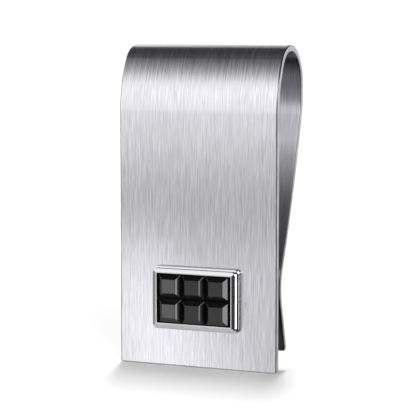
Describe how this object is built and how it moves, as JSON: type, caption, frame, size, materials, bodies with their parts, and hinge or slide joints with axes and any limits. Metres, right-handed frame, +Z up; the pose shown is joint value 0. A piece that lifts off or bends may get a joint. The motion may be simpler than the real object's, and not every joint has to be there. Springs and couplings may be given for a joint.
{
  "type": "money clip",
  "caption": "Folded spring-steel money clip whose flared rear leg presses folded notes against a front plate with a bezel-set panel of faceted black stones.",
  "frame": {"origin": "centre of the front plate's foot, halfway through the steel", "axes": "+Z up along the front plate, +Y from the front plate towards the spring leg, +X across the strip"},
  "size_m": [0.0264, 0.0131, 0.05],
  "materials": {
    "strip_steel": "satin, brushed along the strip",
    "setting_metal": "mirror polished",
    "black_stone": "polished, opaque",
    "cement": "matt black",
    "bond": "matt, hidden"
  },
  "bodies": {
    "front": {"front_plate": "strip_steel", "bonding_film": "bond", "setting_base": "setting_metal", "bezel_frame": "setting_metal", "cement_bed": "cement", "stone_row1_col1": "black_stone", "stone_row1_col2": "black_stone", "stone_row1_col3": "black_stone", "stone_row2_col1": "black_stone", "stone_row2_col2": "black_stone", "stone_row2_col3": "black_stone"},
    "leg": {"spring_leg": "strip_steel"}
  },
  "joints": [
    {"name": "leg_flex", "type": "hinge", "parent": "front", "child": "leg", "pos_m": [0, 0.00536, 0.05], "axis": [1, 0, 0], "range_deg": [0, 8], "stiffness_Nm_per_rad": 17}
  ]
}
